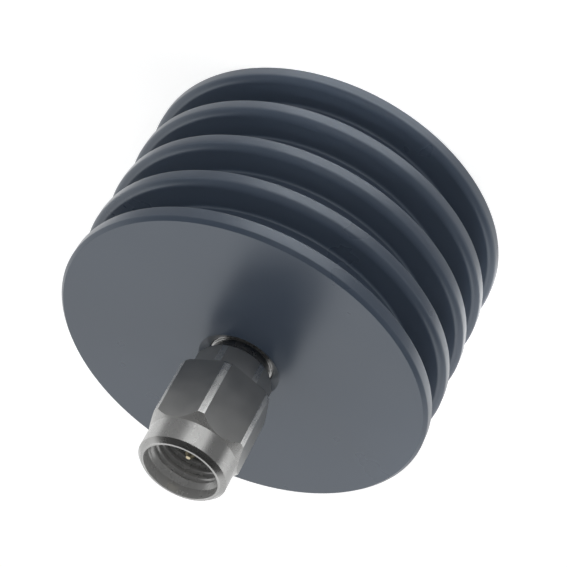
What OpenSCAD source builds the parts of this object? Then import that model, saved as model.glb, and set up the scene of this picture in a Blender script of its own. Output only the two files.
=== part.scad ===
// Coaxial termination: a chip load in a finned heat sink, behind a male connector with a loose nut.
// The part stands on the flat rear face of its heat sink, at z = 0, and the connector points up.

/* [Heat sink] */
// Outside diameter of the fins
sink_d = 34; // [32:0.5:44]
// Number of fins, with the front disc and the rear disc
fin_count = 5; // [4:1:8]
// Thickness of one fin
fin_thick = 1.5; // [1.2:0.1:2.2]
// Air gap between two fins
fin_gap = 3; // [2.4:0.1:4.5]
// Diameter of the core that carries the fins
core_d = 28.4; // [24:0.2:30]
// Chamfer round the front face
face_chamfer = 0.32; // [0.1:0.02:0.5]
// Chamfer on the front edge of each fin behind the front disc
fin_front_chamfer = 0.44; // [0.1:0.02:0.5]
// Chamfer on the rear edge of each fin
fin_rear_chamfer = 0.16; // [0.06:0.02:0.4]
// Radius in the corners at the bottom of each groove
groove_radius = 0.25; // [0.1:0.05:0.5]
// Diameter of the countersink round the connector, at the front face
recess_d = 7.5; // [6.8:0.1:9]
// Depth of that countersink
recess_depth = 0.55; // [0.3:0.05:0.7]

/* [Connector body] */
// Width across the flats of the fixed hexagon
body_flats = 6.4; // [6:0.1:7]
// Height of the fixed hexagon
body_hex_h = 2.7; // [2.2:0.1:3.5]
// Height of the hexagon's lower side above the front face
hex_lift = 0.4; // [0.2:0.05:0.8]
// Height of the crown chamfer under the hexagon
hex_crown_h = 0.55; // [0.3:0.05:0.8]
// Diameter at the narrow end of that crown
hex_crown_d = 5.9; // [5.6:0.05:6.3]
// Chamfer on the upper edge of the hexagon
hex_top_chamfer = 0.12; // [0.05:0.01:0.3]
// Diameter of the round neck under the hexagon
neck_d = 5.3; // [4.9:0.05:5.6]
// Diameter of the flange that seats in the heat sink
flange_d = 5.9; // [5.7:0.05:6.3]
// Thickness of that flange
flange_h = 0.4; // [0.3:0.05:0.6]
// Bright edge chamfer of the flange
flange_chamfer = 0.1; // [0.05:0.01:0.14]
// Outside diameter of the thread that holds the connector in the heat sink
shank_d = 5.5; // [5:0.05:5.6]
// Length of that thread, under the flange
shank_len = 3.6; // [2.6:0.1:4.4]
// Diameter of the barrel that the nut turns on
barrel_d = 5; // [4.8:0.05:5.3]
// Height of the barrel above the hexagon
barrel_h = 3.05; // [2.6:0.05:3.6]
// Outside diameter of the nose that enters the mating jack
nose_d = 4.56; // [4.4:0.02:4.6]
// Length of the nose, up to the mating plane
nose_len = 2; // [1.6:0.05:2.3]
// Chamfer on the outer edge of the nose
nose_chamfer = 0.1; // [0.04:0.02:0.16]

/* [Coaxial line] */
// Bore of the outer conductor
line_d = 3.5; // [3.3:0.02:3.6]
// Diameter of the centre conductor
conductor_d = 1.52; // [1.4:0.02:1.6]
// Diameter of the contact pin
pin_d = 0.92; // [0.86:0.01:0.94]
// Reach of the pin above the mating plane
pin_reach = 2.35; // [1.8:0.05:2.5]
// Length of the tapered tip of the pin
pin_tip_len = 0.35; // [0.2:0.05:0.5]
// Diameter of the flat end of the pin
pin_end_d = 0.4; // [0.3:0.05:0.6]
// Thickness of the support bead
bead_h = 1.5; // [1:0.1:1.8]
// Radial wall of the metal ring round the bead
bead_ring_wall = 0.2; // [0.15:0.01:0.28]
// Number of air holes in the bead
bead_holes = 6; // [4:1:6]
// Diameter of one air hole
bead_hole_d = 0.5; // [0.3:0.05:0.6]
// Diameter of the stud that joins the two halves of the centre conductor
stud_d = 0.8; // [0.6:0.05:0.9]
// Length of the stud inside the contact pin
stud_grip = 1.4; // [1:0.1:2]
// Radial wall of the sleeve behind the bead
sleeve_wall = 0.35; // [0.3:0.01:0.42]

/* [Coupling nut] */
// Width across the flats of the nut
nut_flats = 8; // [7.6:0.1:8.8]
// Overall length of the nut
nut_len = 8.9; // [8:0.1:10]
// Radial cut that rounds the six corners of the nut
nut_corner_cut = 0.16; // [0.05:0.01:0.24]
// Length of the crown between the flats and the collar
nut_crown_len = 0.84; // [0.5:0.02:1.2]
// Diameter of the round collar at the mouth of the nut
collar_d = 7.9; // [7.5:0.05:8.2]
// Length of that collar
collar_len = 2.42; // [1.8:0.02:3]
// Chamfer on the outer edge of the mouth
mouth_chamfer = 0.4; // [0.2:0.05:0.45]
// Chamfer on the rear corners of the nut
nut_rear_chamfer = 0.15; // [0.05:0.01:0.3]
// Diameter of the plain mouth ahead of the thread
mouth_d = 6.62; // [6.4:0.02:6.8]
// Depth of that plain mouth
mouth_depth = 0.95; // [0.5:0.05:1.2]
// Core diameter of the coupling thread
thread_core_d = 5.75; // [5.6:0.05:5.9]
// Diameter of the relief behind the thread
relief_d = 6.5; // [6.36:0.02:6.8]
// Length of the relief behind the thread
relief_len = 1.2; // [0.8:0.1:1.6]
// Angle that the loose nut is left at
nut_turn = -19; // [-30:1:30]

/* [Retaining ring] */
// Height of the ring's lower side above the hexagon
ring_lift = 1.35; // [1:0.05:1.6]
// Thickness of the ring along the axis
ring_h = 0.5; // [0.35:0.05:0.6]
// Depth of the ring in the barrel
ring_bite = 0.34; // [0.2:0.02:0.38]
// Reach of the ring into the nut
ring_reach = 0.35; // [0.2:0.05:0.5]
// Width of the opening in the ring
ring_opening = 1.2; // [0.6:0.1:2]

/* [Load] */
// Length of the load housing under the connector body
housing_len = 6; // [5.6:0.1:7]
// Length of the spigot that aligns the housing in the body
spigot_len = 1.5; // [0.8:0.1:1.8]
// Thickness of the carrier's round foot
carrier_foot_h = 1.4; // [1:0.1:2]
// Free height between the top of the carrier and the top of the housing
carrier_drop = 0.5; // [0.3:0.05:1]
// Width of the resistor chip
chip_w = 2.5; // [2:0.1:2.8]
// Length of the resistor chip
chip_len = 4.7; // [3.8:0.1:5]
// Thickness of the resistor chip
chip_t = 0.5; // [0.35:0.05:0.64]
// Thickness of the contact tab and of the ground strap
tab_t = 0.1; // [0.06:0.01:0.15]
// Width of the contact tab
tab_w = 0.5; // [0.3:0.05:0.8]
// Length of the tab on the chip
tab_lap = 1.3; // [0.8:0.1:1.6]
// Length of the tab in the slot of the centre conductor
tab_grip = 1.1; // [0.6:0.1:1.4]
// Width of the ground strap
strap_w = 2; // [1.2:0.1:2.4]
// Length of the ground strap on the chip
strap_lap = 0.7; // [0.4:0.1:1]
// Thickness of the soft heat pad under the carrier
pad_h = 0.2; // [0.1:0.05:0.4]

/* [Fits] */
// Radial clearance between the nut and what it turns on
run_gap = 0.05; // [0.02:0.01:0.08]
// Clearance along the axis between the nut and its neighbours
end_gap = 0.08; // [0.05:0.01:0.12]
// Radial clearance of the thread in the heat sink
thread_gap = 0.05; // [0.03:0.01:0.06]
// Radial clearance of the parts that are pushed together
push_gap = 0.03; // [0.01:0.01:0.04]

/* [Hidden] */
$fn = 96;
// Margin by which a cutting shape passes the surface that it opens
over = 1;
sink_r = sink_d / 2;
core_r = core_d / 2;
fin_pitch = fin_thick + fin_gap;
face_z = fin_count * fin_thick + (fin_count - 1) * fin_gap;

// Heights of the connector, from the seat of its flange up to the mating plane
flange_top_z = face_z - recess_depth;
seat_z = flange_top_z - flange_h;
shank_end_z = seat_z - shank_len;
hex_z = face_z + hex_lift;
hex_top_z = hex_z + body_hex_h;
shoulder_z = hex_top_z + barrel_h;
mating_z = shoulder_z + nose_len;
pin_end_z = mating_z + pin_reach;

// Radii of the line and of what lies round it
line_r = line_d / 2;
conductor_r = conductor_d / 2;
stud_r = stud_d / 2;
sleeve_r = line_r + sleeve_wall;
rear_bore_r = sleeve_r + push_gap;
bead_r = sleeve_r - bead_ring_wall - push_gap;
shank_r = shank_d / 2;
socket_r = flange_d / 2 + push_gap;
thread_bore_r = shank_r + thread_gap;
body_corner_r = body_flats / 2 / cos(30);

// The bead ends under the hexagon's upper side, where the wall is still thick
bead_top_z = hex_top_z;
bead_z = bead_top_z - bead_h;
spigot_top_z = shank_end_z + spigot_len;

// Nut, from its own rear face
nut_z = hex_top_z + end_gap;
nut_corner_r = nut_flats / 2 / cos(30) - nut_corner_cut;
collar_r = collar_d / 2;
collar_z = nut_len - collar_len;
crown_z = collar_z - nut_crown_len;
mouth_z = nut_len - mouth_depth;
entry_z = mouth_z - (mouth_d - thread_core_d) / 2;
nut_floor_z = shoulder_z + end_gap - nut_z;
relief_z = nut_floor_z + relief_len;
nut_bore_r = barrel_d / 2 + run_gap;

// Retaining ring and the two grooves that hold it
ring_z = hex_top_z + ring_lift;
ring_inner_r = barrel_d / 2 - ring_bite;
ring_outer_r = barrel_d / 2 + ring_reach;

// Load, from the housing down to the floor of the bore
housing_z = shank_end_z - housing_len;
foot_z = housing_z - carrier_foot_h;
pad_z = foot_z - pad_h;
carrier_top_z = shank_end_z - carrier_drop;
carrier_r = line_r - push_gap;
chip_face_x = -tab_t / 2;
chip_back_x = chip_face_x - chip_t;
chip_top_z = carrier_top_z;
chip_z = chip_top_z - chip_len;
slot_end_z = chip_top_z + carrier_drop;

// A straight tube on the axis, from z0 up to z1
module tube(inner_r, outer_r, z0, z1) {
    translate([0, 0, z0])
        difference() {
            cylinder(h = z1 - z0, r = outer_r);
            translate([0, 0, -over])
                cylinder(h = z1 - z0 + 2 * over, r = inner_r);
        }
}

// Half section of one air groove, with round inner corners and chamfered lips
module groove_section() {
    lip_r = sink_r + over;
    floor_r = core_r + groove_radius;
    polygon([
        [floor_r, 0],
        [sink_r - fin_front_chamfer, 0],
        [lip_r, -fin_front_chamfer - over],
        [lip_r, fin_gap + fin_rear_chamfer + over],
        [sink_r - fin_rear_chamfer, fin_gap],
        [floor_r, fin_gap],
    ]);
    translate([core_r, groove_radius])
        square([groove_radius, fin_gap - 2 * groove_radius]);
    for (corner_z = [groove_radius, fin_gap - groove_radius])
        translate([floor_r, corner_z])
            circle(r = groove_radius);
}

// Half section of the stepped bore that takes the connector and the load
module socket_section() {
    polygon([
        [0, pad_z],
        [thread_bore_r, pad_z],
        [thread_bore_r, seat_z],
        [socket_r, seat_z],
        [socket_r, flange_top_z],
        [recess_d / 2, face_z],
        [recess_d / 2, face_z + over],
        [0, face_z + over],
    ]);
}

module heat_sink() {
    color("#3d454f")
        difference() {
            rotate_extrude()
                polygon([
                    [0, 0],
                    [sink_r - fin_rear_chamfer, 0],
                    [sink_r, fin_rear_chamfer],
                    [sink_r, face_z - face_chamfer],
                    [sink_r - face_chamfer, face_z],
                    [0, face_z],
                ]);
            for (groove = [0 : fin_count - 2])
                translate([0, 0, groove * fin_pitch + fin_thick])
                    rotate_extrude()
                        groove_section();
            rotate_extrude()
                socket_section();
        }
}

// Outside of the connector body, as turned before its flats are milled
module body_turned() {
    rotate_extrude()
        polygon([
            [0, shank_end_z],
            [shank_r, shank_end_z],
            [shank_r, seat_z],
            [flange_d / 2, seat_z],
            [flange_d / 2, flange_top_z - flange_chamfer],
            [flange_d / 2 - flange_chamfer, flange_top_z],
            [neck_d / 2, flange_top_z],
            [neck_d / 2, hex_top_z],
            [barrel_d / 2, hex_top_z],
            [barrel_d / 2, shoulder_z],
            [nose_d / 2, shoulder_z],
            [nose_d / 2, mating_z - nose_chamfer],
            [nose_d / 2 - nose_chamfer, mating_z],
            [0, mating_z],
        ]);
}

// The fixed hexagon, crowned below and chamfered above
module body_hexagon() {
    intersection() {
        translate([0, 0, hex_z])
            cylinder(h = body_hex_h, r = body_corner_r, $fn = 6);
        rotate_extrude()
            polygon([
                [0, hex_z],
                [hex_crown_d / 2, hex_z],
                [body_corner_r, hex_z + hex_crown_h],
                [body_corner_r, hex_top_z - hex_top_chamfer],
                [body_corner_r - 2 * hex_top_chamfer, hex_top_z],
                [0, hex_top_z],
            ]);
    }
}

module connector_body() {
    color("#a9a9a6")
        difference() {
            union() {
                body_turned();
                body_hexagon();
            }
            translate([0, 0, bead_top_z - over])
                cylinder(h = mating_z - bead_top_z + 2 * over, r = line_r);
            translate([0, 0, shank_end_z - over])
                cylinder(h = bead_top_z - shank_end_z + over, r = rear_bore_r);
            tube(ring_inner_r - push_gap, barrel_d, ring_z, ring_z + ring_h + push_gap);
        }
}

// Outside of the nut: six flats, a crown that runs into the collar, and the chamfered mouth
module nut_outside() {
    intersection() {
        cylinder(h = collar_z, r = nut_flats / 2 / cos(30), $fn = 6);
        rotate_extrude()
            polygon([
                [0, 0],
                [nut_corner_r - nut_rear_chamfer, 0],
                [nut_corner_r, nut_rear_chamfer],
                [nut_corner_r, crown_z],
                [collar_r, collar_z],
                [0, collar_z],
            ]);
    }
    rotate_extrude()
        polygon([
            [0, crown_z],
            [collar_r, crown_z],
            [collar_r, nut_len - mouth_chamfer],
            [collar_r - mouth_chamfer, nut_len],
            [0, nut_len],
        ]);
}

// Half section of the nut's inside: running bore, ring groove, relief, thread core, its 45 degree entry
// and the plain mouth
module nut_inside_section() {
    groove_r = ring_outer_r + end_gap;
    groove_z = ring_z - nut_z - end_gap;
    groove_top_z = ring_z + ring_h - nut_z + end_gap;
    polygon([
        [0, -over],
        [nut_bore_r, -over],
        [nut_bore_r, groove_z],
        [groove_r, groove_z],
        [groove_r, groove_top_z],
        [nut_bore_r, groove_top_z],
        [nut_bore_r, nut_floor_z],
        [relief_d / 2, nut_floor_z],
        [relief_d / 2, relief_z],
        [thread_core_d / 2, relief_z],
        [thread_core_d / 2, entry_z],
        [mouth_d / 2, mouth_z],
        [mouth_d / 2, nut_len + over],
        [0, nut_len + over],
    ]);
}

module coupling_nut() {
    color("#b9b8b4")
        translate([0, 0, nut_z])
            rotate([0, 0, nut_turn])
                difference() {
                    nut_outside();
                    rotate_extrude()
                        nut_inside_section();
                }
}

// An open spring ring, half in the barrel and half in the nut
module retaining_ring() {
    color("#c9a45c")
        difference() {
            tube(ring_inner_r, ring_outer_r, ring_z, ring_z + ring_h);
            translate([0, -ring_opening / 2, ring_z - over])
                cube([barrel_d, ring_opening, ring_h + 2 * over]);
        }
}

module center_pin() {
    color("#cfae5a")
        difference() {
            rotate_extrude()
                polygon([
                    [0, bead_top_z],
                    [conductor_r, bead_top_z],
                    [conductor_r, mating_z],
                    [pin_d / 2, mating_z],
                    [pin_d / 2, pin_end_z - pin_tip_len],
                    [pin_end_d / 2, pin_end_z],
                    [0, pin_end_z],
                ]);
            translate([0, 0, bead_top_z - over])
                cylinder(h = stud_grip + over, r = stud_r + push_gap);
        }
}

// Rear half of the centre conductor: a stud through the bead, and a slot for the tab
module rear_conductor() {
    color("#cfae5a")
        difference() {
            rotate_extrude()
                polygon([
                    [0, slot_end_z],
                    [conductor_r, slot_end_z],
                    [conductor_r, bead_z],
                    [stud_r, bead_z],
                    [stud_r, bead_top_z + stud_grip],
                    [0, bead_top_z + stud_grip],
                ]);
            translate([chip_face_x, -conductor_r - over, slot_end_z - over])
                cube([tab_t, conductor_d + 2 * over, tab_grip + over]);
        }
}

module support_bead() {
    hole_ring_r = (stud_r + push_gap + bead_r) / 2;
    color("#d8d2bf")
        difference() {
            tube(stud_r + push_gap, bead_r, bead_z, bead_top_z);
            for (hole = [0 : bead_holes - 1])
                rotate([0, 0, hole * 360 / bead_holes])
                    translate([hole_ring_r, 0, bead_z - over])
                        cylinder(h = bead_h + 2 * over, d = bead_hole_d);
        }
}

module bead_ring() {
    color("#cfae5a")
        tube(bead_r + push_gap, sleeve_r, bead_z, bead_top_z);
}

module line_sleeve() {
    color("#cfae5a")
        tube(line_r, sleeve_r, spigot_top_z, bead_z);
}

module load_housing() {
    color("#b58a45")
        difference() {
            union() {
                translate([0, 0, housing_z])
                    cylinder(h = housing_len, r = shank_r);
                translate([0, 0, housing_z])
                    cylinder(h = spigot_top_z - housing_z, r = sleeve_r);
            }
            translate([0, 0, housing_z - over])
                cylinder(h = spigot_top_z - housing_z + 2 * over, r = line_r);
        }
}

// Round foot with a half-round post, whose flat carries the chip
module chip_carrier() {
    color("#b87343") {
        union() {
            translate([0, 0, foot_z])
                cylinder(h = carrier_foot_h, r = shank_r);
            difference() {
                translate([0, 0, foot_z])
                    cylinder(h = carrier_top_z - foot_z, r = carrier_r);
                translate([chip_back_x, -line_d, housing_z])
                    cube([line_d, 2 * line_d, carrier_top_z - housing_z + over]);
            }
        }
    }
}

module resistor_chip() {
    color("#e6e3da")
        translate([chip_back_x, -chip_w / 2, chip_z])
            cube([chip_t, chip_w, chip_len]);
}

module input_tab() {
    color("#d9b765")
        translate([chip_face_x, -tab_w / 2, chip_top_z - tab_lap])
            cube([tab_t, tab_w, tab_lap + slot_end_z - chip_top_z + tab_grip]);
}

module ground_strap() {
    color("#d9b765")
        translate([chip_face_x, -strap_w / 2, housing_z])
            cube([tab_t, strap_w, chip_z + strap_lap - housing_z]);
}

module heat_pad() {
    color("#8d9196")
        translate([0, 0, pad_z])
            cylinder(h = pad_h, r = shank_r);
}

heat_sink();
connector_body();
coupling_nut();
retaining_ring();
center_pin();
rear_conductor();
support_bead();
bead_ring();
line_sleeve();
load_housing();
chip_carrier();
resistor_chip();
input_tab();
ground_strap();
heat_pad();
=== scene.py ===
import math

import bmesh
import bpy
from mathutils import Matrix, Vector


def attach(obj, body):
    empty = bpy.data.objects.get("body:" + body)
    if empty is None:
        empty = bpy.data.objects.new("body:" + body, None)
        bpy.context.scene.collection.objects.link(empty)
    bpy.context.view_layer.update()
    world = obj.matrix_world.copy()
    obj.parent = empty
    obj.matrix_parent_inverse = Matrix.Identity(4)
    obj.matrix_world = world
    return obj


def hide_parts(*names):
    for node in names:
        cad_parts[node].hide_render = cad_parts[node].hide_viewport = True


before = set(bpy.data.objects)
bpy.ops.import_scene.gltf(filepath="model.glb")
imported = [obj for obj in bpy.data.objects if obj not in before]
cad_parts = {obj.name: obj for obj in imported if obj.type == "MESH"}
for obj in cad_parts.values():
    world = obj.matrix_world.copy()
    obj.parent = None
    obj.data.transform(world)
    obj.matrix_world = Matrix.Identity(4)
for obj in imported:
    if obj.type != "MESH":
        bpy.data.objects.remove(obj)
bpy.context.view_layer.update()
mm = 0.001
print("frame loaded:", len(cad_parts), "nodes")


# camera first, at the angle of the photograph
view = {
    "aimHeight": 9.38,      # where the line of sight crosses the axis
    "distance": 161.7,
    "elevation": 37.82,
    "roll": 208.71,         # the part hangs head down in the picture
    "lens": 115.49,         # mm, on the sensor below
    "sensor": 36.0,
    "clip": (0.005, 20.0),  # metres
}


def placeCamera():
    up = math.radians(view["elevation"])
    turn = math.radians(view["roll"])
    back = Vector((0, -math.cos(up), math.sin(up)))
    level = Vector((1, 0, 0))
    upright = Vector((0, math.sin(up), math.cos(up)))
    right = math.cos(turn) * level + math.sin(turn) * upright
    above = math.cos(turn) * upright - math.sin(turn) * level
    place = (Vector((0, 0, view["aimHeight"])) + view["distance"] * back) * mm
    data = bpy.data.cameras.new("camera")
    data.lens = view["lens"]
    data.sensor_width = view["sensor"]
    data.clip_start, data.clip_end = view["clip"]
    camera = bpy.data.objects.new("camera", data)
    camera.matrix_world = Matrix((
        (right.x, above.x, back.x, place.x),
        (right.y, above.y, back.y, place.y),
        (right.z, above.z, back.z, place.z),
        (0, 0, 0, 1),
    ))
    bpy.context.scene.collection.objects.link(camera)
    bpy.context.scene.camera = camera


placeCamera()
print("camera placed")


# turned shapes: an outline of (radius, height, edge rounding) corners, carried round the axis
meshing = {
    "roundingSteps": 3,
    "sideShare": 0.48,      # most of a side that one rounding takes
    "leastRoom": 1e-6,      # mm, below it a corner stays sharp
    "weld": 2e-7,           # metres between points that become one
    "collapse": 1e-8,       # metres, below it an edge vanishes
    "sharpAngle": 40.0,     # degrees
}


def roundedOutline(corners):
    steps = meshing["roundingSteps"]
    points = []
    for place, (radius, height, rounding) in enumerate(corners):
        here = Vector((radius, height))
        if rounding == 0 or place in (0, len(corners) - 1):
            points.append(here)
            continue
        before = Vector(corners[place - 1][:2]) - here
        after = Vector(corners[place + 1][:2]) - here
        room = meshing["sideShare"] * min(before.length, after.length)
        if room < meshing["leastRoom"]:
            points.extend([here] * (steps + 1))
            continue
        halfTurn = (math.pi - before.angle(after)) / 2
        cut = min(rounding * math.tan(halfTurn), room)
        start = here + before.normalized() * cut
        end = here + after.normalized() * cut
        for step in range(steps + 1):
            t = step / steps
            points.append((1 - t) ** 2 * start + 2 * t * (1 - t) * here + t * t * end)
    return points


def column(outline, angle):
    return [(p[0] * math.cos(angle), p[0] * math.sin(angle), p[1]) for p in outline]


def skin(columns, slip=0):
    # slip joins the last column to the first one a few rows further on, as a thread does
    rows = len(columns[0])
    points = [p for c in columns for p in c]
    faces = []
    for c in range(len(columns)):
        wraps = c == len(columns) - 1
        here = c * rows
        following = 0 if wraps else here + rows
        shift = slip if wraps else 0
        for row in range(rows - 1 - shift):
            far = following + row + shift
            faces.append((here + row, far, far + 1, here + row + 1))
    return points, faces


def makePiece(name, skins, materials):
    points, faces = [], []
    for skinPoints, skinFaces in skins:
        start = len(points)
        points += [tuple(x * mm for x in p) for p in skinPoints]
        faces += [tuple(i + start for i in f) for f in skinFaces]
    mesh = bpy.data.meshes.new(name)
    mesh.from_pydata(points, [], faces)
    shape = bmesh.new()
    shape.from_mesh(mesh)
    bmesh.ops.remove_doubles(shape, verts=shape.verts, dist=meshing["weld"])
    bmesh.ops.dissolve_degenerate(shape, edges=shape.edges, dist=meshing["collapse"])
    bmesh.ops.recalc_face_normals(shape, faces=shape.faces)
    for face in shape.faces:
        face.smooth = True
    shape.to_mesh(mesh)
    shape.free()
    mesh.set_sharp_from_angle(angle=math.radians(meshing["sharpAngle"]))
    for material in materials:
        mesh.materials.append(material)
    piece = bpy.data.objects.new(name, mesh)
    bpy.context.scene.collection.objects.link(piece)
    weigh = piece.modifiers.new("flat faces stay flat", "WEIGHTED_NORMAL")
    weigh.keep_sharp = True
    return piece


def turned(name, corners, segments, materials):
    outline = roundedOutline(corners)
    columns = [column(outline, 2 * math.pi * s / segments) for s in range(segments)]
    return makePiece(name, [skin(columns)], materials)


# node helpers: tree is the node tree of a material or of the sky
def newMaterial(name):
    material = bpy.data.materials.new(name)
    material.use_nodes = True
    tree = material.node_tree
    return material, tree, tree.nodes["Principled BSDF"]


def objectPlace(tree):
    return tree.nodes.new("ShaderNodeTexCoord").outputs["Object"]


def noise(tree, vector, scale, detail=2.0, roughness=0.5):
    texture = tree.nodes.new("ShaderNodeTexNoise")
    texture.inputs["Scale"].default_value = scale
    texture.inputs["Detail"].default_value = detail
    texture.inputs["Roughness"].default_value = roughness
    tree.links.new(vector, texture.inputs["Vector"])
    return texture.outputs["Fac"]


def spread(tree, value, low, high, fromLow=0.0, fromHigh=1.0):
    ramp = tree.nodes.new("ShaderNodeMapRange")
    ramp.inputs["From Min"].default_value = fromLow
    ramp.inputs["From Max"].default_value = fromHigh
    ramp.inputs["To Min"].default_value = low
    ramp.inputs["To Max"].default_value = high
    tree.links.new(value, ramp.inputs["Value"])
    return ramp.outputs["Result"]


def smoothStep(tree, value, start, end):
    ramp = tree.nodes.new("ShaderNodeMapRange")
    ramp.interpolation_type = "SMOOTHSTEP"
    ramp.inputs["From Min"].default_value = start
    ramp.inputs["From Max"].default_value = end
    tree.links.new(value, ramp.inputs["Value"])
    return ramp.outputs["Result"]


def mixColours(tree, factor, dark, light):
    mix = tree.nodes.new("ShaderNodeMix")
    mix.data_type = "RGBA"
    mix.inputs["A"].default_value = (*dark, 1)
    mix.inputs["B"].default_value = (*light, 1)
    tree.links.new(factor, mix.inputs["Factor"])
    return mix.outputs["Result"]


def compute(tree, operation, a, b=0.0):
    node = tree.nodes.new("ShaderNodeMath")
    node.operation = operation
    for socket, value in zip(node.inputs, (a, b)):
        if isinstance(value, (int, float)):
            socket.default_value = value
        else:
            tree.links.new(value, socket)
    return node.outputs[0]


def times(tree, first, *others):
    product = first
    for other in others:
        product = compute(tree, "MULTIPLY", product, other)
    return product


def vectorMath(tree, operation, vector, other=None):
    node = tree.nodes.new("ShaderNodeVectorMath")
    node.operation = operation
    tree.links.new(vector, node.inputs[0])
    if other is not None:
        node.inputs[1].default_value = other
    return node.outputs


def bump(tree, height, strength, distance, normal=None):
    node = tree.nodes.new("ShaderNodeBump")
    node.inputs["Strength"].default_value = strength
    node.inputs["Distance"].default_value = distance
    tree.links.new(height, node.inputs["Height"])
    if normal is not None:
        tree.links.new(normal, node.inputs["Normal"])
    return node.outputs["Normal"]


def turningPlace(tree, fine, around):
    # distance from the axis and height, stretched along the cut, for marks that a lathe leaves
    split = tree.nodes.new("ShaderNodeSeparateXYZ")
    tree.links.new(objectPlace(tree), split.inputs[0])
    x, y, z = split.outputs
    radius = compute(tree, "SQRT", compute(tree, "ADD", times(tree, x, x), times(tree, y, y)))
    angle = compute(tree, "ARCTAN2", y, x)
    join = tree.nodes.new("ShaderNodeCombineXYZ")
    for socket, value, stretch in zip(join.inputs, (radius, angle, z), (fine, around, fine)):
        tree.links.new(times(tree, value, stretch), socket)
    return join.outputs[0]


# finishes: colours run from dark to light over a cloudy noise, and so does the roughness
cloudRange = (0.3, 0.7)     # where most of the noise's values lie
# black anodising on fine-turned aluminium; noise scales are per metre, depths in metres
anodising = {
    "dark": (0.042, 0.056, 0.080),
    "light": (0.051, 0.067, 0.094),
    "ior": 1.70,
    "tint": (0.94, 1.0, 1.05),      # of its gloss
    "roughness": (0.27, 0.33),
    "cloud": 160,
    "grain": 5200,          # of the etching
    "grainCrisp": 0.6,      # share that each finer step of its noise keeps
    "grainStrength": 0.35,
    "grainDepth": 0.000006,
    "marks": 9000,          # turning marks
    "marksAround": 2.0,     # their noise scale along the cut, per radian
    "marksStrength": 0.5,
    "marksDepth": 0.0000015,
}


def anodisedMaterial():
    a = anodising
    material, tree, shader = newMaterial("blackAnodising")
    place = objectPlace(tree)
    cloud = noise(tree, place, a["cloud"], detail=3)
    fine = noise(tree, place, a["grain"], detail=3, roughness=a["grainCrisp"])
    marks = noise(tree, turningPlace(tree, a["marks"], a["marksAround"]), 1.0)
    shader.inputs["IOR"].default_value = a["ior"]
    shader.inputs["Specular Tint"].default_value = (*a["tint"], 1)
    roughness = spread(tree, cloud, *a["roughness"], *cloudRange)
    grained = bump(tree, fine, a["grainStrength"], a["grainDepth"])
    turnedNormal = bump(tree, marks, a["marksStrength"], a["marksDepth"], grained)
    tree.links.new(mixColours(tree, cloud, a["dark"], a["light"]), shader.inputs["Base Color"])
    tree.links.new(roughness, shader.inputs["Roughness"])
    tree.links.new(turnedNormal, shader.inputs["Normal"])
    return material


# stainless steel, as turned or as milled
steel = {
    "dark": (0.398, 0.398, 0.392),
    "light": (0.482, 0.482, 0.475),
    "cloud": 700,
    "marks": 16000,
    "marksAround": 1.5,
    "milledCoarser": 3,     # times, than the turning marks
    "marksStrength": 0.5,
    "marksDepth": 0.0000012,
    "acrossMarks": 0.25,    # of a full turn, from the tangent to the stretched gloss
}
steelLooks = {
    "turnedSteel": {"roughness": (0.24, 0.30), "stretch": 0.85, "turned": True, "shade": 1.0, "metal": 1.0},
    "milledSteel": {"roughness": (0.38, 0.44), "stretch": 0.0, "turned": False, "shade": 1.0, "metal": 1.0},
    # the turned corners: a lighter copy of the turned steel, a painted highlight on the strips
    "cornerSteelPaintedHighlight": {"roughness": (0.24, 0.30), "stretch": 0.85, "turned": True, "shade": 1.6, "metal": 1.0},
    # the inside of the nut: a copy a little darker and less metallic, so the lamps light it diffusely;
    # painted shade and light in the bore
    "paintedBoreSteel": {"roughness": (0.24, 0.30), "stretch": 0.0, "turned": True, "shade": 0.95, "metal": 0.55},
}


def steelMaterial(name):
    look = steelLooks[name]
    material, tree, shader = newMaterial(name)
    shader.inputs["Metallic"].default_value = look["metal"]
    shader.inputs["Anisotropic"].default_value = look["stretch"]
    place = objectPlace(tree)
    cloud = noise(tree, place, steel["cloud"], detail=3)
    dark, light = (tuple(look["shade"] * part for part in steel[tone]) for tone in ("dark", "light"))
    tree.links.new(mixColours(tree, cloud, dark, light), shader.inputs["Base Color"])
    tree.links.new(spread(tree, cloud, *look["roughness"], *cloudRange), shader.inputs["Roughness"])
    if look["turned"]:
        marks = noise(tree, turningPlace(tree, steel["marks"], steel["marksAround"]), 1.0)
        tangent = tree.nodes.new("ShaderNodeTangent")
        tangent.direction_type = "RADIAL"
        tangent.axis = "Z"
        tree.links.new(tangent.outputs[0], shader.inputs["Tangent"])
        shader.inputs["Anisotropic Rotation"].default_value = steel["acrossMarks"]
    else:
        marks = noise(tree, place, steel["marks"] / steel["milledCoarser"])
    tree.links.new(bump(tree, marks, steel["marksStrength"], steel["marksDepth"]), shader.inputs["Normal"])
    return material


# bare and plated metal of the inner pieces
plating = {
    "cloud": 900,
    "smoother": 0.04,       # how far the roughness falls and rises from its middle
    "rougher": 0.06,
    "grain": 14000,
    "grainStrength": 0.3,
    "grainDepth": 0.000001,
}


def platedMaterial(name, dark, light, roughness):
    p = plating
    material, tree, shader = newMaterial(name)
    shader.inputs["Metallic"].default_value = 1.0
    place = objectPlace(tree)
    cloud = noise(tree, place, p["cloud"], detail=3)
    fine = noise(tree, place, p["grain"])
    uneven = spread(tree, cloud, roughness - p["smoother"], roughness + p["rougher"], *cloudRange)
    tree.links.new(mixColours(tree, cloud, dark, light), shader.inputs["Base Color"])
    tree.links.new(uneven, shader.inputs["Roughness"])
    tree.links.new(bump(tree, fine, p["grainStrength"], p["grainDepth"]), shader.inputs["Normal"])
    return material


# plastic, ceramic and rubber of the inner pieces
matt = {
    "uneven": 0.08,         # how far the roughness falls and rises from its middle
    "grainStrength": 0.3,
    "grainDepth": 0.00001,
}


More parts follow.
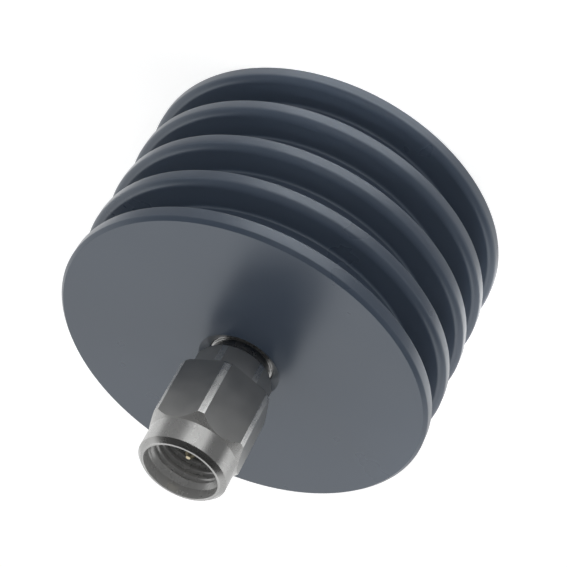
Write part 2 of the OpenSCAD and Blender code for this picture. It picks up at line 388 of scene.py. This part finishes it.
def mattMaterial(name, dark, light, roughness, grain):
    material, tree, shader = newMaterial(name)
    cloud = noise(tree, objectPlace(tree), grain, detail=4)
    uneven = spread(tree, cloud, roughness - matt["uneven"], roughness + matt["uneven"], *cloudRange)
    tree.links.new(mixColours(tree, cloud, dark, light), shader.inputs["Base Color"])
    tree.links.new(uneven, shader.inputs["Roughness"])
    tree.links.new(bump(tree, cloud, matt["grainStrength"], matt["grainDepth"]), shader.inputs["Normal"])
    return material


finishes = {
    "anodised": anodisedMaterial(),
    "turnedSteel": steelMaterial("turnedSteel"),
    "milledSteel": steelMaterial("milledSteel"),
    "cornerSteelPaintedHighlight": steelMaterial("cornerSteelPaintedHighlight"),
    "paintedBoreSteel": steelMaterial("paintedBoreSteel"),
    # name, dark tone, light tone, roughness
    "gold": platedMaterial("goldPlate", (0.52, 0.45, 0.30), (0.72, 0.64, 0.46), 0.22),
    "bronze": platedMaterial("springBronze", (0.42, 0.26, 0.11), (0.62, 0.44, 0.22), 0.3),
    "copper": platedMaterial("bareCopper", (0.50, 0.24, 0.13), (0.72, 0.40, 0.25), 0.32),
    # name, dark tone, light tone, roughness, scale of the grain
    "bead": mattMaterial("beadPlastic", (0.09, 0.09, 0.088), (0.14, 0.14, 0.135), 0.5, 3000),
    "ceramic": mattMaterial("chipCeramic", (0.70, 0.68, 0.63), (0.85, 0.84, 0.80), 0.45, 4000),
    "pad": mattMaterial("padRubber", (0.22, 0.23, 0.25), (0.33, 0.34, 0.36), 0.75, 2500),
}
print("finishes made:", len(finishes))


# heat sink: one turned piece
heatSink = {
    "diameter": 34.0,
    "core": 28.4,
    "fins": 5,
    "finThick": 1.5,
    "finGap": 3.0,
    "faceChamfer": 0.32,
    "frontChamfer": 0.44,   # front edge of the four fins behind the face
    "rearChamfer": 0.16,
    "grooveRadius": 0.25,
    "recess": 7.5,          # countersink round the connector, at the face
    "recessDepth": 0.55,
    "seat": 5.96,           # bore round the flange
    "seatDepth": 0.95,
    "threadBore": 5.6,
    "boreFloor": 7.35,
    "edge": 0.05,           # rounding of the sharp edges
    "rimEdge": 0.16,        # softer rounding where a chamfer meets the rim of a fin
    "landRound": 0.35,      # the front chamfers run softly into the lands
    "finRound": 1.1,        # and more softly into the flanks
    "segments": 320,
}


def buildHeatSink():
    h = heatSink
    outer, core, edge, rimEdge = h["diameter"] / 2, h["core"] / 2, h["edge"], h["rimEdge"]
    corners = [(0, 0, 0), (outer - h["rearChamfer"], 0, edge), (outer, h["rearChamfer"], rimEdge)]
    pitch = h["finThick"] + h["finGap"]
    for fin in range(h["fins"] - 1):
        front = fin * pitch + h["finThick"]
        corners += [
            (outer, front - h["frontChamfer"], h["landRound"]),
            (outer - h["frontChamfer"], front, h["finRound"]),
            (core, front, h["grooveRadius"]),
            (core, front + h["finGap"], h["grooveRadius"]),
            (outer - h["rearChamfer"], front + h["finGap"], edge),
            (outer, front + h["finGap"] + h["rearChamfer"], rimEdge),
        ]
    face = (h["fins"] - 1) * pitch + h["finThick"]
    corners += [
        (outer, face - h["faceChamfer"], rimEdge),
        (outer - h["faceChamfer"], face, edge),
        (h["recess"] / 2, face, edge),
        (h["seat"] / 2, face - h["recessDepth"], edge / 2),
        (h["seat"] / 2, face - h["seatDepth"], 0),
        (h["threadBore"] / 2, face - h["seatDepth"], 0),
        (h["threadBore"] / 2, h["boreFloor"], 0),
        (0, h["boreFloor"], 0),
    ]
    piece = turned("finned_heat_sink", corners, h["segments"], [finishes["anodised"]])
    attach(piece, "termination")
    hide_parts("heat_sink")
    return face


faceHeight = buildHeatSink()
print("heat sink turned")


# hexagons: columns at angles that crowd round the turned corners
halfSide = 30               # degrees from the middle of a flat to the corner
hexagon = {
    "coarse": 3.2,          # degrees between the columns on a flat
    "close": 0.11,          # and where a flat meets a turned corner
    "softness": 0.004,      # rounds the long edge between the two
}
# how far a face may be off and still count as a flat, a turned corner or the inside
marking = {
    "flatLean": 0.02,       # upward part of its normal
    "cornerLean": 0.05,
    "flatTurn": 1.2,        # degrees
    "flatReach": 0.02,      # mm
    "reach": 0.01,          # mm
    "lip": 0.02,            # mm at the mouth's end that stay as turned
}


def cornerReach(flats, cut):
    return flats / 2 / math.cos(math.radians(halfSide)) - cut


def hexDirections(flats, cornerRadius, turn):
    # each column's offset from the middle of its flat, in degrees, and its angle, in radians
    cornerAngle = math.degrees(math.acos(flats / 2 / cornerRadius))
    coarse, close = hexagon["coarse"], hexagon["close"]
    offsets = [coarse * k for k in range(int(cornerAngle / coarse) + 1)]
    offsets += [cornerAngle + close * k for k in (-2, -1, 0, 1, 2)]
    offsets += [(2 * cornerAngle + halfSide) / 3, (cornerAngle + 2 * halfSide) / 3, halfSide]
    offsets = sorted(o for o in set(offsets) if o <= halfSide)
    offsets = [-o for o in reversed(offsets) if 0 < o < halfSide] + offsets
    middles = [halfSide + 2 * halfSide * side for side in range(6)]
    return [(offset, math.radians(middle + offset + turn)) for middle in middles for offset in offsets]


def hexColumns(flats, cornerRadius, turn, outlineAt):
    softness = hexagon["softness"]
    columns = []
    for offset, angle in hexDirections(flats, cornerRadius, turn):
        reach = flats / 2 / math.cos(math.radians(offset))
        blend = math.sqrt((reach - cornerRadius) ** 2 + softness ** 2)
        radius = (reach + cornerRadius - blend) / 2 + softness / 4
        columns.append(column(outlineAt(min(radius, reach, cornerRadius), angle), angle))
    return columns


def crossing(low, high, radius):
    # height at which the cone from low to high has this radius
    share = (radius - low[0]) / (high[0] - low[0])
    return low[1] + min(max(share, 0), 1) * (high[1] - low[1])


def markFlats(piece, flats, turn, low, high, slot):
    # the milled flats, with crisp outlines
    milled = {}
    for polygon in piece.data.polygons:
        normal, centre = polygon.normal, polygon.center / mm
        if abs(normal.z) > marking["flatLean"] or not low < centre.z < high:
            continue
        away = (math.degrees(math.atan2(normal.y, normal.x)) - halfSide - turn) % (2 * halfSide)
        off = abs(centre.x * normal.x + centre.y * normal.y - flats / 2)
        if min(away, 2 * halfSide - away) < marking["flatTurn"] and off < marking["flatReach"]:
            polygon.material_index = slot
            for pair in polygon.edge_keys:
                milled[pair] = milled.get(pair, 0) + 1
    for edge in piece.data.edges:
        if milled.get(edge.key, 0) == 1:
            edge.use_edge_sharp = True


def markCorners(piece, radius, low, high, slot):
    # the turned corners between the flats, which have no finish of their own yet; the slot given here is the
    # lighter steel of their painted highlight
    for polygon in piece.data.polygons:
        centre = polygon.center / mm
        across = abs(math.hypot(centre.x, centre.y) - radius) < marking["reach"]
        upright = abs(polygon.normal.z) < marking["cornerLean"]
        if across and upright and low < centre.z < high and polygon.material_index == 0:
            polygon.material_index = slot


def markInside(piece, reach, low, high, slot):
    # surfaces that face the axis
    for polygon in piece.data.polygons:
        normal, centre = polygon.normal, polygon.center / mm
        inward = centre.x * normal.x + centre.y * normal.y < marking["reach"]
        near = math.hypot(centre.x, centre.y) < reach + marking["reach"]
        if inward and near and low < centre.z < high:
            polygon.material_index = slot


# connector body
body = {
    "flats": 6.4,
    "hexLift": 0.4,         # above the face of the heat sink
    "hexHeight": 2.7,
    "crownHeight": 0.55,
    "crownDiameter": 5.9,
    "cornerCut": 0.15,      # turned off each corner
    "topChamfer": 0.12,
    "neck": 5.3,
    "neckFillet": 0.16,
    "flange": 5.9,
    "flangeHeight": 0.4,
    "flangeChamfer": 0.1,
    "shank": 5.5,
    "shankLength": 3.6,
    "barrel": 5.0,
    "barrelHeight": 3.05,
    "nose": 4.56,
    "noseLength": 2.0,
    "noseChamfer": 0.1,
    "line": 3.5,            # bore round the contact pin
    "rearBore": 4.26,
    "grooveFloor": 4.26,    # groove of the retaining ring
    "grooveLift": 1.35,
    "grooveWidth": 0.53,
    "edge": 0.04,
    "slots": ("turnedSteel", "milledSteel", "cornerSteelPaintedHighlight"),
}


def buildBody():
    b = body
    edge = b["edge"]
    flangeTop = faceHeight - heatSink["recessDepth"]
    seat = flangeTop - b["flangeHeight"]
    shankEnd = seat - b["shankLength"]
    hexLow = faceHeight + b["hexLift"]
    hexTop = hexLow + b["hexHeight"]
    shoulder = hexTop + b["barrelHeight"]
    mating = shoulder + b["noseLength"]
    groove = hexTop + b["grooveLift"]
    cornerRadius = cornerReach(b["flats"], b["cornerCut"])
    crownFoot = (b["crownDiameter"] / 2, hexLow)
    crownEnd = (cornerRadius, hexLow + b["crownHeight"])
    topEnd = (cornerRadius - 2 * b["topChamfer"], hexTop)
    topStart = (cornerRadius, hexTop - b["topChamfer"])

    def outlineAt(radius, _angle):      # the same at every angle but for the radius
        corners = [
            (b["rearBore"] / 2, hexTop, 0),
            (b["rearBore"] / 2, shankEnd, 0),
            (b["shank"] / 2, shankEnd, edge),
            (b["shank"] / 2, seat, 0),
            (b["flange"] / 2, seat, 0),
            (b["flange"] / 2, flangeTop - b["flangeChamfer"], edge),
            (b["flange"] / 2 - b["flangeChamfer"], flangeTop, edge),
            (b["neck"] / 2, flangeTop, b["neckFillet"]),
            (b["neck"] / 2, hexLow, edge),
            (crownFoot[0], hexLow, edge / 2),
            (radius, crossing(crownFoot, crownEnd, radius), edge),
            (radius, crossing(topEnd, topStart, radius), edge),
            (min(topEnd[0], radius), hexTop, edge),
            (b["barrel"] / 2, hexTop, edge),
            (b["barrel"] / 2, groove, 0),
            (b["grooveFloor"] / 2, groove, 0),
            (b["grooveFloor"] / 2, groove + b["grooveWidth"], 0),
            (b["barrel"] / 2, groove + b["grooveWidth"], 0),
            (b["barrel"] / 2, shoulder, edge),
            (b["nose"] / 2, shoulder, edge),
            (b["nose"] / 2, mating - b["noseChamfer"], edge),
            (b["nose"] / 2 - b["noseChamfer"], mating, edge),
            (b["line"] / 2, mating, edge / 2),
            (b["line"] / 2, hexTop, 0),
            (b["rearBore"] / 2, hexTop, 0),
        ]
        return roundedOutline(corners)

    slots = b["slots"]
    columns = hexColumns(b["flats"], cornerRadius, 0, outlineAt)
    piece = makePiece("hex_connector_body", [skin(columns)], [finishes[name] for name in slots])
    markFlats(piece, b["flats"], 0, hexLow, hexTop, slots.index("milledSteel"))
    markCorners(piece, cornerRadius, hexLow, hexTop, slots.index("cornerSteelPaintedHighlight"))
    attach(piece, "termination")
    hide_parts("connector_body")
    return hexTop


hexTopHeight = buildBody()
print("connector body turned and milled")


# coupling nut, with its real thread
nut = {
    "flats": 8.0,
    "length": 8.9,
    "endGap": 0.08,         # above the hexagon of the body
    "cornerCut": 0.16,
    "rearChamfer": 0.15,
    "crown": 0.84,
    "collar": 7.9,
    "collarLength": 2.42,
    "mouthChamfer": 0.4,
    "mouth": 6.62,
    "mouthDepth": 0.95,
    "threadCore": 5.75,
    "threadMajor": 6.36,
    "threadPitch": 0.7056,  # 36 turns to the inch
    "threadRoot": 0.09,     # flat at the bottom of the groove
    "threadFlank": 30.0,    # degrees, half of the thread's angle
    "threadSoft": 0.02,     # rows this far beside each edge of the thread keep it crisp
    "relief": 6.5,
    "reliefLength": 1.2,
    "floor": 3.05,
    "bore": 5.1,
    "ringGroove": 5.86,
    "ringGrooveLow": 1.19,
    "ringGrooveHigh": 1.85,
    "turn": -19.0,          # degrees, as in the photograph
    "edge": 0.05,
    "slots": ("turnedSteel", "milledSteel", "paintedBoreSteel", "cornerSteelPaintedHighlight"),
}


def threadRadius(height, angle):
    # a right-handed 60 degree thread cut into the bore, behind a 45 degree entry
    n = nut
    core, major = n["threadCore"] / 2, n["threadMajor"] / 2
    pitch = n["threadPitch"]
    along = (height - pitch * angle / (2 * math.pi)) % pitch
    away = min(along, pitch - along) - n["threadRoot"] / 2
    depth = (major - core) - away / math.tan(math.radians(n["threadFlank"]))
    entry = n["mouth"] / 2 - (n["length"] - n["mouthDepth"] - height)
    return max(core + min(max(depth, 0), major - core), entry)


def threadSkin(low, high, angles):
    # rows that climb with the thread, pressed flat at its two ends
    n = nut
    pitch, soft = n["threadPitch"], n["threadSoft"]
    root = n["threadRoot"] / 2
    flank = root + (n["threadMajor"] - n["threadCore"]) / 2 * math.tan(math.radians(n["threadFlank"]))
    marks = [0, root - soft, root + soft, (root + flank) / 2, flank - soft, flank + soft]
    steps = sorted(marks + [pitch - m for m in marks if m > 0] + [pitch / 2])
    turns = int((high - low) / pitch) + 3
    heights = [(t - 1) * pitch + s for t in range(turns) for s in steps]
    base = math.floor(low / pitch) * pitch
    columns = []
    for angle in angles:
        rise = base + pitch * angle / (2 * math.pi)
        levels = [min(max(height + rise, low), high) for height in heights]
        outline = [(threadRadius(z, angle), z) for z in levels]
        columns.append(column(outline, angle))
    return skin(columns, slip=len(steps))


def buildNut():
    n = nut
    edge = n["edge"]
    rear = hexTopHeight + n["endGap"]
    cornerRadius = cornerReach(n["flats"], n["cornerCut"])
    collarLow = n["length"] - n["collarLength"]
    crownLow = collarLow - n["crown"]
    threadHigh = n["length"] - n["mouthDepth"]
    threadLow = n["floor"] + n["reliefLength"]
    rearFoot = (cornerRadius - n["rearChamfer"], 0)
    rearEnd = (cornerRadius, n["rearChamfer"])
    crownFoot = (cornerRadius, crownLow)
    crownEnd = (n["collar"] / 2, collarLow)

    def outlineAt(radius, angle):       # the thread ends elsewhere at each angle
        corners = [
            (n["mouth"] / 2, threadHigh, 0),
            (n["mouth"] / 2, n["length"], edge),
            (n["collar"] / 2 - n["mouthChamfer"], n["length"], edge),
            (n["collar"] / 2, n["length"] - n["mouthChamfer"], edge),
            (n["collar"] / 2, collarLow, edge),
            (radius, crossing(crownEnd, crownFoot, radius), edge),
            (radius, crossing(rearFoot, rearEnd, radius), edge),
            (min(rearFoot[0], radius), 0, edge),
            (n["bore"] / 2, 0, edge),
            (n["bore"] / 2, n["ringGrooveLow"], 0),
            (n["ringGroove"] / 2, n["ringGrooveLow"], 0),
            (n["ringGroove"] / 2, n["ringGrooveHigh"], 0),
            (n["bore"] / 2, n["ringGrooveHigh"], 0),
            (n["bore"] / 2, n["floor"], edge),
            (n["relief"] / 2, n["floor"], 0),
            (n["relief"] / 2, threadLow, 0),
            (threadRadius(threadLow, angle), threadLow, 0),
        ]
        return roundedOutline(corners)

    slots = n["slots"]
    outside = skin(hexColumns(n["flats"], cornerRadius, n["turn"], outlineAt))
    angles = [angle for _offset, angle in hexDirections(n["flats"], cornerRadius, n["turn"])]
    inside = threadSkin(threadLow, threadHigh, angles)
    lifted = [([(x, y, z + rear) for x, y, z in points], faces) for points, faces in (outside, inside)]
    piece = makePiece("threaded_coupling_nut", lifted, [finishes[name] for name in slots])
    lip = rear + n["length"] - marking["lip"]
    markFlats(piece, n["flats"], n["turn"], rear, rear + collarLow, slots.index("milledSteel"))
    markCorners(piece, cornerRadius, rear, rear + crownLow, slots.index("cornerSteelPaintedHighlight"))
    # the inside of the nut takes the bore steel with its painted shade and light
    markInside(piece, n["mouth"] / 2, rear, lip, slots.index("paintedBoreSteel"))
    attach(piece, "nut")
    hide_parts("coupling_nut")


buildNut()
print("coupling nut turned, milled and threaded")


# the pieces that the frame already shapes well get their finish
nodeFinish = {
    "retaining_ring": "bronze",
    "center_pin": "gold",
    "rear_conductor": "gold",
    "support_bead": "bead",
    "bead_ring": "gold",
    "line_sleeve": "gold",
    "load_housing": "gold",
    "chip_carrier": "copper",
    "resistor_chip": "ceramic",
    "input_tab": "gold",
    "ground_strap": "gold",
    "heat_pad": "pad",
}
for node, finish in nodeFinish.items():
    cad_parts[node].data.materials.clear()
    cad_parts[node].data.materials.append(finishes[finish])
print("inner pieces finished:", len(nodeFinish))


# pale floor and a soft sky, dim on the side that the camera looks from; lengths in metres, angles in degrees
studio = {
    "floorSize": 6.0,
    "floorColour": (0.68, 0.68, 0.68),
    "floorRoughness": 0.9,
    "floorWhite": 0.69,     # added where the floor is mirrored: less in the quieter sectors, a painted shade, and more close to the part, a painted glow
    "floorSeen": 0.61,      # added where it is seen straight, little enough to keep the shadow
    "paintedGlow": 0.8,            # painted glow of the floor close to the part, where mirrored, in place of its shadow
    "paintedGlowReach": (0.032, 0.019),    # distances where it starts and is full
    "paintedShadeShare": 0.45,     # share of its colour left where a quieter sector is mirrored: painted shade in reflections
    "skyFar": 1.72,         # strength of the sky behind the part
    "farLow": 0.5,          # share left of it low down
    "farRise": (27.0, 50.0),        # elevations where it starts to rise and is full
    "skyNear": 0.85,        # strength low down on the near side
    "nearSide": (-0.3, 0.3),        # how far to the near side it takes over
    "skyTop": 0.12,         # share left straight above
    "topReach": (44.0, 62.0),       # elevations where that starts and is full
    "skyDim": 0.04,         # strength on the dim side
    "dimAim": -92.0,        # azimuth of its middle
    "dimSide": (-0.42, -0.06),      # how far to that side the dimming starts and is full
    "dimLow": (9.0, 21.0),          # elevations where it starts and is full
    "skyQuiet": 0.1,        # share of the quieter sectors' loss that the sky has too
}
# quieter sectors, where the mirrored floor is painted darker as shade in reflections and the sky is a little
# dimmer:
# azimuth, degrees from it to where the loss starts and is full, loss
quietSectors = [(-138.0, 36.0, 12.0, 0.95), (-26.0, 44.0, 12.0, 0.8), (140.0, 30.0, 10.0, 0.3)]


def direction(azimuth, elevation):
    a, e = math.radians(azimuth), math.radians(elevation)
    return Vector((math.cos(a) * math.cos(e), math.sin(a) * math.cos(e), math.sin(e)))


def sector(tree, vector, aim, start, full):
    # 1 round one azimuth, 0 away from it
    flat = vectorMath(tree, "MULTIPLY", vector, (1, 1, 0))[0]
    unit = vectorMath(tree, "NORMALIZE", flat)[0]
    along = vectorMath(tree, "DOT_PRODUCT", unit, direction(aim, 0))["Value"]
    return smoothStep(tree, along, math.cos(math.radians(start)), math.cos(math.radians(full)))


def quietness(tree, vector, share=1.0):
    # what the quieter sectors leave
    kept = []
    for aim, start, full, loss in quietSectors:
        kept.append(spread(tree, sector(tree, vector, aim, start, full), 1.0, 1.0 - share * loss))
    return times(tree, *kept)


def buildFloor():
    s = studio
    half = s["floorSize"] / 2
    corners = [(-half, -half, 0), (half, -half, 0), (half, half, 0), (-half, half, 0)]
    mesh = bpy.data.meshes.new("floor")
    mesh.from_pydata(corners, [], [(0, 1, 2, 3)])
    floor = bpy.data.objects.new("floor", mesh)
    bpy.context.scene.collection.objects.link(floor)
    material, tree, shader = newMaterial("paleFloor")
    path = tree.nodes.new("ShaderNodeLightPath").outputs
    place = objectPlace(tree)
    kept = quietness(tree, place)
    mirrored = compute(tree, "MAXIMUM", path["Is Glossy Ray"], path["Is Transmission Ray"])
    # close to the part the mirrored floor glows brighter: a painted glow in place of its shadow
    close = smoothStep(tree, vectorMath(tree, "LENGTH", place)["Value"], *s["paintedGlowReach"])
    bright = compute(tree, "ADD", kept, times(tree, close, s["paintedGlow"]))
    added = times(tree, mirrored, bright, s["floorWhite"])
    seen = times(tree, path["Is Camera Ray"], s["floorSeen"])
    # where the floor is mirrored, the quieter sectors are painted darker: painted shade in reflections
    paintedShadeMask = times(tree, mirrored, compute(tree, "SUBTRACT", 1.0, kept))
    paintedShadeColour = tuple(s["paintedShadeShare"] * part for part in s["floorColour"])
    tree.links.new(mixColours(tree, paintedShadeMask, s["floorColour"], paintedShadeColour), shader.inputs["Base Color"])
    tree.links.new(compute(tree, "MAXIMUM", seen, added), shader.inputs["Emission Strength"])
    shader.inputs["Emission Color"].default_value = (1, 1, 1, 1)
    shader.inputs["Roughness"].default_value = s["floorRoughness"]
    shader.inputs["Specular IOR Level"].default_value = 0.0
    mesh.materials.append(material)


def buildSky():
    s = studio
    world = bpy.data.worlds.new("studioSky")
    bpy.context.scene.world = world
    world.use_nodes = True
    tree = world.node_tree
    background = tree.nodes["Background"]
    heading = tree.nodes.new("ShaderNodeTexCoord").outputs["Generated"]
    split = tree.nodes.new("ShaderNodeSeparateXYZ")
    tree.links.new(heading, split.inputs[0])
    x, y, height = split.outputs

    def rises(elevations):
        return smoothStep(tree, height, *(math.sin(math.radians(e)) for e in elevations))

    aim = direction(s["dimAim"], 0)
    side = compute(tree, "ADD", times(tree, x, aim.x), times(tree, y, aim.y))
    near = smoothStep(tree, side, *s["nearSide"])
    strength = spread(tree, near, s["skyFar"], s["skyNear"])
    low = compute(tree, "MAXIMUM", spread(tree, rises(s["farRise"]), s["farLow"], 1.0), near)
    top = spread(tree, rises(s["topReach"]), 1.0, s["skyTop"])
    dim = times(tree, smoothStep(tree, side, *s["dimSide"]), rises(s["dimLow"]))
    bright = compute(tree, "SUBTRACT", 1.0, dim)
    lit = times(tree, strength, low, top, quietness(tree, heading, s["skyQuiet"]), bright)
    lit = compute(tree, "ADD", lit, times(tree, dim, s["skyDim"]))
    tree.links.new(lit, background.inputs["Strength"])
    background.inputs["Color"].default_value = (1, 1, 1, 1)


# lamps, in metres, degrees and watts; the broad ones round the near side leave no glint
# azimuth, elevation, power
lamps = [(-88.0, 33.0, 0.72), (-163.0, 30.0, 0.5), (-13.0, 30.0, 0.5)]
lampShape = {"distance": 0.45, "size": 0.34}
# small ones that only light the floor beside the part: azimuth, distance of the patch, power
pools = [(-79.0, 0.035, 0.34), (175.0, 0.024, 0.20)]
poolShape = {"beside": 0.03, "height": 0.08, "cone": 26.0, "size": 0.01}


def placeLamp(name, kind, place, away, power):
    data = bpy.data.lights.new(name, kind)
    data.energy = power
    lamp = bpy.data.objects.new(name, data)
    lamp.location = place
    lamp.rotation_mode = "QUATERNION"
    lamp.rotation_quaternion = away.to_track_quat("Z", "Y")
    lamp.visible_glossy = False
    bpy.context.scene.collection.objects.link(lamp)
    return data


def buildLamp(azimuth, elevation, power):
    away = direction(azimuth, elevation)
    place = away * lampShape["distance"] + Vector((0, 0, faceHeight * mm / 2))
    data = placeLamp("broadLamp", "AREA", place, away, power)
    data.shape = "DISK"
    data.size = lampShape["size"]


def buildPool(azimuth, reach, power):
    aim = direction(azimuth, 0)
    place = aim * (reach + poolShape["beside"]) + Vector((0, 0, poolShape["height"]))
    data = placeLamp("floorLamp", "SPOT", place, place - aim * reach, power)
    data.spot_size = math.radians(poolShape["cone"])
    data.spot_blend = 1.0
    data.shadow_soft_size = poolShape["size"]


buildFloor()
buildSky()
for lamp in lamps:
    buildLamp(*lamp)
for pool in pools:
    buildPool(*pool)
print("floor, sky and lamps set")

bpy.context.scene.view_settings.view_transform = "Standard"
